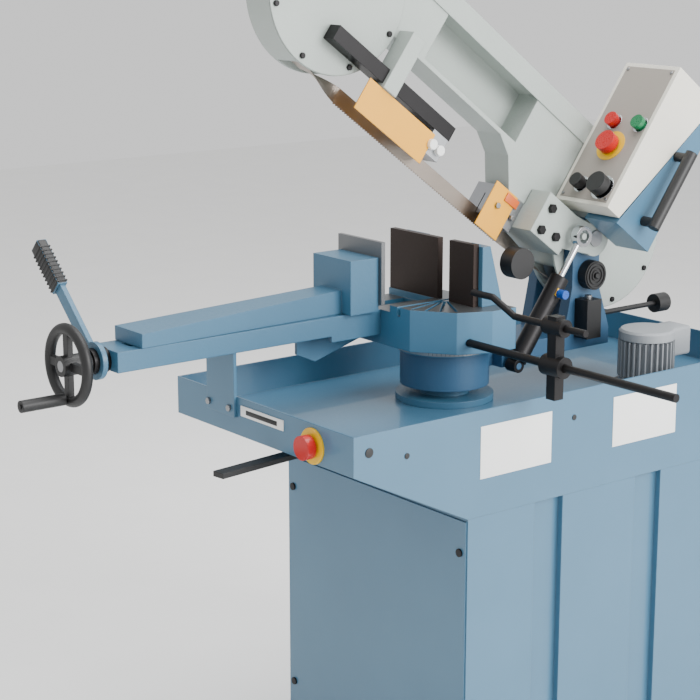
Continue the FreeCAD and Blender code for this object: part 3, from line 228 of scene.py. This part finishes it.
# The record's finish for each slot
SLOTS = {
    # the dark blue slot takes the casting paint darkened as painted shade
    "blue_paint": "powder_coat_blue", "dark_blue_paint": "casting_paint_dark_blue",
    "casting_grey": "casting_paint_grey", "cream_paint": "textured_paint_cream",
    "steel": "ground_steel", "blackened_steel": "oil_blackened_steel",
    "jaw_steel": "hot_rolled_jaw_steel", "grey_iron": "machined_grey_iron", "chrome": "hard_chrome",
    "black_plastic": "moulded_black_nylon", "red_plastic": "moulded_red_plastic",
    "green_plastic": "moulded_green_plastic", "blue_plastic": "moulded_blue_plastic",
    "guard_yellow": "powder_coat_guard_yellow", "aluminium": "die_cast_aluminium",
    "brass": "turned_brass", "blade_steel": "rolled_band_steel",
}
# Parts whose surface was made another way than their slot's
OWN = {"movable_jaw": "casting_paint_blue", "jaw_bracket": "casting_paint_blue",
       "turntable_base": "casting_paint_blue", "vise_bed": "casting_paint_blue",
       "vise_lock_lever": "casting_paint_blue", "vise_table": "ground_top_casting_blue"}


# ---------------------------------------------------------------- meshes

def box(work, low, high, bevel=0.0, at=FLAT):
    """A block between two corners in millimetres, its edges rounded."""
    low, high = mm(*low), mm(*high)
    made = bmesh.ops.create_cube(work, size=1.0)["verts"]
    for vert in made:
        vert.co = at @ Vector((low[n] + (vert.co[n] + 0.5) * (high[n] - low[n]) for n in range(3)))
    if bevel:
        edges = list(dict.fromkeys(edge for vert in made for edge in vert.link_edges))
        bmesh.ops.bevel(work, geom=edges, offset=bevel / 1000, segments=3, profile=0.5, affect="EDGES")


def circle(work, radius, height, sides, at):
    """A ring of vertices about local Z, in millimetres."""
    turns = [2 * math.pi * n / sides for n in range(sides)]
    return [work.verts.new(at @ mm(radius * math.cos(turn), radius * math.sin(turn), height))
            for turn in turns]


def band(work, low, high):
    """Faces between two rings of vertices."""
    sides = len(low)
    for n in range(sides):
        work.faces.new((low[n], low[(n + 1) % sides], high[(n + 1) % sides], high[n]))


def turned(work, profile, sides=48, at=FLAT):
    """A solid of revolution about local Z from (radius, height) pairs in millimetres."""
    rings = [circle(work, radius, height, sides, at) for radius, height in profile]
    for low, high in zip(rings, rings[1:]):
        band(work, low, high)
    work.faces.new(list(reversed(rings[0])))
    work.faces.new(rings[-1])


def ring(work, inner, outer, low, high, sides=48, at=FLAT):
    """A flat ring about local Z, in millimetres."""
    outline = ((inner, low), (outer, low), (outer, high), (inner, high))
    loops = [circle(work, radius, height, sides, at) for radius, height in outline]
    for near, far in zip(loops, loops[1:] + loops[:1]):
        band(work, near, far)


def pierced(work, low, high, holes, thick, at=FLAT):
    """A flat plate in local XY between two corners, with round holes (x, y, radius), in millimetres."""
    loops = [[(low[0], low[1]), (high[0], low[1]), (high[0], high[1]), (low[0], high[1])]]
    turns = [math.radians(10 * n) for n in range(36)]
    for x, y, radius in holes:
        loops.append([(x + radius * math.cos(turn), y + radius * math.sin(turn)) for turn in turns])
    rims = []
    for loop in loops:
        verts = [work.verts.new(at @ mm(x, y, 0)) for x, y in loop]
        rims += [work.edges.new((verts[n - 1], verts[n])) for n in range(len(verts))]
    flat = bmesh.ops.triangle_fill(work, use_beauty=True, edges=rims)["geom"]
    faces = [item for item in flat if isinstance(item, bmesh.types.BMFace)]
    if not faces:
        raise RuntimeError("the pierced plate did not fill")
    raised = bmesh.ops.extrude_face_region(work, geom=faces)["geom"]
    lift = at.to_3x3() @ mm(0, 0, thick)
    bmesh.ops.translate(work, vec=lift, verts=[v for v in raised if isinstance(v, bmesh.types.BMVert)])


def order_faces(work):
    """Put the faces in order of place, because a bevel or a fill may list them in any order."""
    places = {face: tuple(round(part, 7) for part in face.calc_center_median()) for face in work.faces}
    for index, face in enumerate(sorted(places, key=places.get)):
        face.index = index
    work.faces.sort()


def settle(name, work, material, smooth=True):
    """Turn the work mesh into an object at the origin."""
    order_faces(work)
    bmesh.ops.recalc_face_normals(work, faces=work.faces)
    mesh = bpy.data.meshes.new(name)
    work.to_mesh(mesh)
    work.free()
    thing = bpy.data.objects.new(name, mesh)
    bpy.context.collection.objects.link(thing)
    mesh.materials.append(bpy.data.materials[material])
    if smooth:
        mesh.shade_smooth()
        mesh.set_sharp_from_angle(angle=math.radians(35))
    return thing


def hang(thing, body, replaces=()):
    """Let a piece move with a body and stand for solid parts."""
    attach(thing, body)
    if replaces:
        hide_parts(*replaces)


def pattern_tree():
    """Copies of a piece in a row, a ring or both, realised and given a material."""
    tree = bpy.data.node_groups.new("saw_pattern", "GeometryNodeTree")
    sockets = (("Piece", "NodeSocketObject"), ("Count", "NodeSocketInt"), ("Step", "NodeSocketVector"),
               ("Turn", "NodeSocketFloat"), ("Radius", "NodeSocketFloat"), ("Place", "NodeSocketVector"),
               ("Rotate", "NodeSocketVector"), ("Finish", "NodeSocketMaterial"))
    for name, kind in sockets:
        tree.interface.new_socket(name, in_out="INPUT", socket_type=kind)
    tree.interface.new_socket("Geometry", in_out="OUTPUT", socket_type="NodeSocketGeometry")
    given = add(tree, "NodeGroupInput").outputs
    index = add(tree, "GeometryNodeInputIndex").outputs["Index"]
    angle = add(tree, "ShaderNodeMath", operation="MULTIPLY")
    tree.links.new(index, angle.inputs[0])
    tree.links.new(given["Turn"], angle.inputs[1])
    along = add(tree, "ShaderNodeVectorMath", [("Scale", index)], operation="SCALE")
    tree.links.new(given["Step"], along.inputs[0])
    out = add(tree, "ShaderNodeCombineXYZ", [("X", given["Radius"])])
    swing = add(tree, "ShaderNodeVectorRotate", [("Vector", out.outputs[0]), ("Angle", angle.outputs[0])],
                rotation_type="Z_AXIS")
    spot = add(tree, "ShaderNodeVectorMath", operation="ADD")
    tree.links.new(along.outputs[0], spot.inputs[0])
    tree.links.new(swing.outputs[0], spot.inputs[1])
    points = add(tree, "GeometryNodePoints", [("Count", given["Count"]), ("Position", spot.outputs[0])])
    euler = add(tree, "ShaderNodeCombineXYZ", [("Z", angle.outputs[0])])
    source = add(tree, "GeometryNodeObjectInfo", [("Object", given["Piece"])])
    copies = add(tree, "GeometryNodeInstanceOnPoints",
                 [("Points", points.outputs[0]), ("Instance", source.outputs["Geometry"]),
                  ("Rotation", euler.outputs[0])])
    real = add(tree, "GeometryNodeRealizeInstances", [("Geometry", copies.outputs[0])])
    moved = add(tree, "GeometryNodeTransform",
                [("Geometry", real.outputs[0]), ("Translation", given["Place"]),
                 ("Rotation", given["Rotate"])])
    painted = add(tree, "GeometryNodeSetMaterial",
                  [("Geometry", moved.outputs[0]), ("Material", given["Finish"])])
    add(tree, "NodeGroupOutput", [("Geometry", painted.outputs[0])])
    return tree


def repeat(name, work, material, count, at, step=(0, 0, 0), turn=0.0, radius=0.0):
    """Copy the work mesh in a pattern placed by a matrix, as one plain mesh."""
    piece = settle(name + "_unit", work, material, smooth=False)
    host = bpy.data.objects.new(name + "_host", bpy.data.meshes.new(name + "_host"))
    bpy.context.collection.objects.link(host)
    tree = bpy.data.node_groups.get("saw_pattern") or pattern_tree()
    modifier = host.modifiers.new("pattern", "NODES")
    modifier.node_group = tree
    spots = {item.name: item.identifier for item in tree.interface.items_tree
             if item.item_type == "SOCKET" and item.in_out == "INPUT"}
    values = {"Piece": piece, "Count": count, "Step": mm(*step), "Turn": math.radians(turn),
              "Radius": radius / 1000, "Place": at.to_translation(),
              "Rotate": Vector(at.to_euler("XYZ")), "Finish": bpy.data.materials[material]}
    for key, value in values.items():
        modifier[spots[key]] = value
    graph = bpy.context.evaluated_depsgraph_get()
    mesh = bpy.data.meshes.new_from_object(host.evaluated_get(graph))
    if not mesh.vertices:
        raise RuntimeError(f"{name} came out empty")
    thing = bpy.data.objects.new(name, mesh)
    bpy.context.collection.objects.link(thing)
    for spare in (host, piece):
        bpy.data.objects.remove(spare)
    return thing


# ---------------------------------------------------------------- sizes

def length(text, value):
    """A length in metres shown in the sidebar, given here in millimetres."""
    return bpy.props.FloatProperty(name=text, description=text + " of the machine", default=value / 1000,
                                   unit="LENGTH", subtype="DISTANCE")


class SawTray(bpy.types.PropertyGroup):
    """Sizes of the details on the tray"""
    ring_radius: length("Stop ring radius", 30)
    plate_thick: length("Plate thickness", 0.8)


class SawPump(bpy.types.PropertyGroup):
    """Sizes of the coolant pump motor"""
    fin_deep: length("Pump fin depth", 8)
    fins: bpy.props.IntProperty(name="Pump fins", description="Cooling fins round the pump motor", default=30)


class SawVise(bpy.types.PropertyGroup):
    """Sizes of the vise details"""
    rib_step: length("Grip rib spacing", 8)


class SawArm(bpy.types.PropertyGroup):
    """Sizes of the swivel arm details"""
    drum_radius: length("Drum cap radius", 24)


class SawBow(bpy.types.PropertyGroup):
    """Sizes of the bow details"""
    tooth_pitch: length("Tooth pitch", 6)
    motor_fins: bpy.props.IntProperty(name="Motor fins", description="Fins round the drive motor", default=36)


class SawPanel(bpy.types.PropertyGroup):
    """Sizes of the control panel details"""
    ring_radius: length("Panel stop ring radius", 30)


GROUPS = {"saw_tray": SawTray, "saw_pump": SawPump, "saw_vise": SawVise, "saw_arm": SawArm,
          "saw_bow": SawBow, "saw_panel": SawPanel}


# ---------------------------------------------------------------- operators

class SAW_OT_materials(bpy.types.Operator):
    """Make every material and give each solid part its own"""
    bl_idname = "saw.materials"
    bl_label = "Materials"

    def execute(self, context):
        for name, (dark, light, rough, extra) in RECIPES.items():
            surface(name, dark, light, rough, **extra)
        for part in frame["record"]["subparts"]:
            thing = frame["nodes"][part["node"]]
            name = OWN.get(part["node"], SLOTS[part["material_slot"]])
            thing.data.materials.clear()
            thing.data.materials.append(bpy.data.materials[name])
        return {"FINISHED"}


class SAW_OT_tray(bpy.types.Operator):
    """Stop-button ring, gauge plate, blank label plates, plug and bolts on the tray"""
    bl_idname = "saw.tray"
    bl_label = "Tray details"

    def execute(self, context):
        sizes = context.scene.saw_tray
        outer, thick = sizes.ring_radius * 1000, sizes.plate_thick * 1000
        front, right = reach("chip_tray")[0].y, reach("chip_tray")[1].x
        button = sum(reach("front_stop_button"), Vector()) / 2
        post = joint_at("arm_swivel") * 1000
        work = bmesh.new()
        ring(work, STEM_HOLE, outer, 0, 3,
             at=Matrix.Translation(mm(button.x, front, button.z)) @ TO_Y.inverted())
        hang(settle("tray_stop_ring", work, "moulded_yellow_plastic"), "base")
        work = bmesh.new()
        box(work, (-54, front - 2, 750), (67, front, 768), 0.4)
        for low, high in ((-355, -194), (-46, 114)):
            box(work, (right, low, 662), (right + thick, high, 752), 0.2)
        hang(settle("tray_plates", work, "printed_white_plate"), "base")
        work = bmesh.new()
        box(work, (-38, front - 2.6, 755), (50, front - 2, 763), 0.2)
        for y, z, size in ((-589, 750, 8), (-512, 731, 5), (-141, 732, 5)):
            turned(work, ((size, 0), (size, 1), (size - 1, 1.4)), 32,
                   Matrix.Translation(mm(right, y, z)) @ TO_X)
        hang(settle("tray_plugs", work, "moulded_black_nylon"), "base")
        work = bmesh.new()
        turned(work, ((6, 0), (6, 4), (5.4, 4.6)), 6)
        lip = reach("bed_supports")[0].y
        bolts = repeat("support_bolts", work, "ground_steel", 2,
                       Matrix.Translation(mm(-142, lip, 759)) @ TO_Y.inverted(), step=(61, 0, 0))
        hang(bolts, "base")
        scale_radius, scale_low = 86.2, 818
        work = bmesh.new()
        ring(work, scale_radius, scale_radius + 0.6, scale_low, scale_low + 8, 96,
             Matrix.Translation(mm(post.x, post.y, 0)))
        hang(settle("degree_scale", work, "die_cast_aluminium"), "base")
        work = bmesh.new()
        box(work, (0, -0.3, 0), (0.4, 0.3, 6))
        ticks = repeat("degree_marks", work, "moulded_black_nylon", 31,
                       Matrix.Translation(mm(post.x, post.y, scale_low + 1))
                       @ Matrix.Rotation(math.radians(-60), 4, "Z"),
                       turn=5, radius=scale_radius + 0.5)
        hang(ticks, "base")
        return {"FINISHED"}


class SAW_OT_pump(bpy.types.Operator):
    """Finned coolant pump motor"""
    bl_idname = "saw.pump"
    bl_label = "Coolant pump"

    def execute(self, context):
        sizes = context.scene.saw_pump
        deep = sizes.fin_deep * 1000
        low, high = reach("pump_motor")
        middle = sum(reach("pump_body"), Vector()) / 2
        base, top = low.z, high.z
        radius = 52
        at = Matrix.Translation(mm(middle.x, middle.y, 0))
        work = bmesh.new()
        turned(work, ((radius - 2, base), (radius - 2, base + 12), (radius - deep, base + 14),
                      (radius - deep, top - 20), (radius - 1, top - 18), (radius - 1, top - 4),
                      (radius - 5, top)), 64, at)
        box(work, (middle.x - 28, middle.y + 40, 776), (middle.x + 28, middle.y + 90, top - 2), 6)
        hang(settle("pump_can", work, "painted_motor_grey"), "base", ("pump_motor",))
        work = bmesh.new()
        box(work, (-1, -1.2, base + 15), (deep, 1.2, top - 20))
        fins = repeat("pump_fins", work, "painted_motor_grey", sizes.fins, at, turn=360 / sizes.fins,
                      radius=radius - deep)
        hang(fins, "base")
        return {"FINISHED"}


class SAW_OT_vise(bpy.types.Operator):
    """Ribbed grip on the vise lever"""
    bl_idname = "saw.vise"
    bl_label = "Vise details"

    def execute(self, context):
        step = context.scene.saw_vise.rib_step * 1000
        work = bmesh.new()
        grip_low = 148
        box(work, (-15, -876, grip_low), (15, -857, grip_low + 93), 4, LEVER)
        hang(settle("vise_lever_grip", work, "moulded_black_nylon"), "vise_lock")
        work = bmesh.new()
        box(work, (-16, -877, 0), (16, -856, 3), 1)
        ribs = repeat("vise_lever_ribs", work, "moulded_black_nylon", int(GRIP_RIBBED / step),
                      LEVER @ Matrix.Translation(mm(0, 0, grip_low + 4)), step=(0, 0, step))
        hang(ribs, "vise_lock")
        return {"FINISHED"}


class SAW_OT_arm(bpy.types.Operator):
    """Drum cap, limit switch roller and the cylinder's brass valve"""
    bl_idname = "saw.arm"
    bl_label = "Swivel arm details"

    def execute(self, context):
        cap = context.scene.saw_arm.drum_radius * 1000
        drum = reach("spring_drum")
        middle = (drum[0] + drum[1]) / 2
        at = Matrix.Translation(mm(drum[1].x, middle.y, middle.z)) @ TO_X
        work = bmesh.new()
        for outer in (cap, cap - 7, cap - 14):
            ring(work, outer - 3, outer, 0, 2, at=at)
        turned(work, ((5, 0), (5, 4), (4, 5)), 24, at)
        hang(settle("drum_rings", work, "moulded_black_nylon"), "swivel_arm")
        work = bmesh.new()
        low, high = reach("limit_switch")
        turned(work, ((7, 0), (7, 6), (6, 7)), 32,
               Matrix.Translation(mm(low.x + 16, (low.y + high.y) / 2, high.z)))
        hang(settle("switch_roller", work, "ground_steel"), "swivel_arm")
        work = bmesh.new()
        box(work, (9, 142, -8), (17.5, 158, 8), 1.5, CYLINDER)
        hang(settle("valve_block", work, "turned_brass"), "cylinder")
        return {"FINISHED"}


class SAW_OT_bow(bpy.types.Operator):
    """Blade teeth, cover screws, guide rollers and the finned drive motor"""
    bl_idname = "saw.bow"
    bl_label = "Bow details"

    def execute(self, context):
        sizes = context.scene.saw_bow
        pitch = sizes.tooth_pitch * 1000
        work = bmesh.new()
        points = [work.verts.new(mm(x, y, z)) for x in (-0.45, 0.45)
                   for y, z in ((0, 0.2), (pitch, 0.2), (pitch * 0.25, -2.2))]
        a, b, c, d, e, f = points
        for face in ((a, c, b), (d, e, f), (a, b, e, d), (b, c, f, e), (c, a, d, f)):
            work.faces.new(face)
        teeth = repeat("blade_teeth", work, "rolled_band_steel", int(TEETH_RUN / pitch),
                       BOW @ Matrix.Translation(mm(BLADE_X, TEETH_FRONT, TEETH_LOW)), step=(0, pitch, 0))
        hang(teeth, "bow")
        for name, y in WHEELS.items():
            work = bmesh.new()
            turned(work, ((5, 0), (5, 3), (4, 4)), 24)
            screws = repeat(name + "_cover_screws", work, "oil_blackened_steel", 8,
                            BOW @ Matrix.Translation(mm(COVER_FACE, y, WHEEL_HIGH)) @ TO_X,
                            turn=45, radius=128)
            hang(screws, "bow")
        work = bmesh.new()
        axis = BOW @ Matrix.Translation(mm(-132, 121, WHEEL_HIGH)) @ TO_Y
        turned(work, ((56, 0), (56, 12), (51, 14), (51, 118), (58, 120), (58, 154), (48, 163)), 64, axis)
        hang(settle("motor_can", work, "painted_motor_grey"), "bow", ("drive_motor",))
        work = bmesh.new()
        box(work, (-1, -1.1, 14), (8, 1.1, 118))
        count = sizes.motor_fins
        fins = repeat("motor_fins", work, "painted_motor_grey", count, axis, turn=360 / count, radius=51)
        hang(fins, "bow")
        work = bmesh.new()
        for y in (-206, -162):
            turned(work, ((6, 0), (6, 4), (5, 5)), 6,
                   BOW @ Matrix.Translation(mm(COVER_FACE, y, -60)) @ TO_X)
        hang(settle("guide_bolts", work, "ground_steel"), "bow")
        work = bmesh.new()
        for y, z in ((-91, -50), (-130, -14), (-130, -58)):
            turned(work, ((9, 0), (9, 6), (8, 7)), 6,
                   BOW @ Matrix.Translation(mm(YOKE_FACE, y, z)) @ TO_X)
        hang(settle("yoke_bolts", work, "oil_blackened_steel"), "bow")
        work = bmesh.new()
        box(work, (18.5, -198, -44), (20.5, -164, -28), 0.5, BOW)
        hang(settle("slotted_bracket", work, "orange_enamel"), "bow")
        work = bmesh.new()
        for y in (-424, -404):
            turned(work, ((9, 0), (9, 8), (8, 9)), 32, BOW @ Matrix.Translation(mm(45, y, -66)) @ TO_X)
        hang(settle("guide_rollers", work, "printed_white_plate"), "guide_arm")
        return {"FINISHED"}


class SAW_OT_panel(bpy.types.Operator):
    """Control panel plate, stop ring, bezels and screws"""
    bl_idname = "saw.panel"
    bl_label = "Control panel"

    def execute(self, context):
        outer = context.scene.saw_panel.ring_radius * 1000
        plate_thick = 0.8
        ring_top = plate_thick + 1
        face = BOW @ Matrix.Translation(mm(0, PANEL_FACE, 0)) @ TO_Y.inverted()
        spots = {"stop": (85, 144, outer), "start": (128, 193, 16), "halt": (64, 193, 16),
                 "main": (116, 60, 24), "selector": (63, 60, 16)}
        work = bmesh.new()
        for x, z, size in list(spots.values())[1:]:
            ring(work, STEM_HOLE, size, plate_thick, ring_top, at=face @ Matrix.Translation(mm(x, z, 0)))
        hang(settle("panel_bezels", work, "hard_chrome"), "bow")
        work = bmesh.new()
        x, z, size = spots["stop"]
        ring(work, STEM_HOLE, size, plate_thick, ring_top, at=face @ Matrix.Translation(mm(x, z, 0)))
        hang(settle("panel_stop_ring", work, "moulded_yellow_plastic"), "bow")
        work = bmesh.new()
        holes = [(x, z, STEM_HOLE) for x, z, size in spots.values()]
        pierced(work, (26, 32), (142, 310), holes, plate_thick, face)
        hang(settle("panel_plate", work, "panel_print_grey", smooth=False), "bow")
        for row, high in (("low", 38), ("top", 304)):
            work = bmesh.new()
            turned(work, ((3, 0.8), (3, 2.2), (2.4, 2.8)), 16)
            screws = repeat(f"panel_{row}_screws", work, "ground_steel", 2,
                            face @ Matrix.Translation(mm(31, high, 0)), step=(106, 0, 0))
            hang(screws, "bow")
        return {"FINISHED"}


class SAW_OT_stage(bpy.types.Operator):
    """Pale floor, soft studio light and the camera"""
    bl_idname = "saw.stage"
    bl_label = "Stage"

    def execute(self, context):
        floor_paint = surface("matt_studio_floor", "f0f0ef", "f6f6f5", 0.85, grain=40, bump=0.01, edge=0.5)
        mesh = bpy.data.meshes.new("floor")
        # the floor reaches 8 m each way, past the edges of the view
        half = 8
        mesh.from_pydata([(-half, -half, 0), (half, -half, 0), (half, half, 0), (-half, half, 0)], [],
                         [(0, 1, 2, 3)])
        floor = bpy.data.objects.new("floor", mesh)
        context.collection.objects.link(floor)
        mesh.materials.append(floor_paint)
        aim = Vector((0, 0, 0.9))
        for name, spot, power, size in (("key", (3.6, 1.0, 2.2), 250, 2.4),
                                        ("fill", (-0.6, -3.4, 3.2), 10, 2.6),
                                        ("top", (0.1, 0.6, 3.6), 130, 2.6)):
            light = bpy.data.lights.new(name, "AREA")
            light.energy, light.size = power, size
            lamp = bpy.data.objects.new(name, light)
            lamp.location = spot
            lamp.rotation_euler = (aim - Vector(spot)).to_track_quat("-Z", "Y").to_euler()
            context.collection.objects.link(lamp)
        world = bpy.data.worlds.new("studio")
        world.use_nodes = True
        sky = world.node_tree.nodes["Background"].inputs
        sky["Color"].default_value = colour("ffffff")
        sky["Strength"].default_value = 0.95
        context.scene.world = world
        lens = bpy.data.cameras.new("camera")
        lens.lens, lens.sensor_width, lens.clip_end = 96.0, 36.0, 50
        camera = bpy.data.objects.new("camera", lens)
        camera.location = (2.4384, -2.3367, 1.5769)
        view = Vector((-0.7669, 0.5992, -0.2299))
        camera.rotation_euler = view.to_track_quat("-Z", "Y").to_euler()
        context.collection.objects.link(camera)
        context.scene.camera = camera
        return {"FINISHED"}


STEPS = (SAW_OT_materials, SAW_OT_tray, SAW_OT_pump, SAW_OT_vise, SAW_OT_arm, SAW_OT_bow, SAW_OT_panel,
         SAW_OT_stage)


class SAW_PT_sidebar(bpy.types.Panel):
    """Steps and sizes of the band saw"""
    bl_idname = "SAW_PT_sidebar"
    bl_label = "Band saw"
    bl_space_type = "VIEW_3D"
    bl_region_type = "UI"
    bl_category = "Band saw"

    def draw(self, context):
        for name, group in GROUPS.items():
            for prop in group.__annotations__:
                self.layout.prop(getattr(context.scene, name), prop)
        for step in STEPS:
            self.layout.operator(step.bl_idname)


def register():
    for group in (*GROUPS.values(), *STEPS, SAW_PT_sidebar):
        bpy.utils.register_class(group)
    for name, group in GROUPS.items():
        setattr(bpy.types.Scene, name, bpy.props.PointerProperty(type=group))


def unregister():
    for name in GROUPS:
        delattr(bpy.types.Scene, name)
    for group in (SAW_PT_sidebar, *reversed(STEPS), *reversed(GROUPS.values())):
        bpy.utils.unregister_class(group)


def main():
    register()
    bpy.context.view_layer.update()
    bpy.ops.saw.materials()
    bpy.ops.saw.tray()
    bpy.ops.saw.pump()
    bpy.ops.saw.vise()
    bpy.ops.saw.arm()
    bpy.ops.saw.bow()
    bpy.ops.saw.panel()
    bpy.ops.saw.stage()


if __name__ == "__main__":
    main()
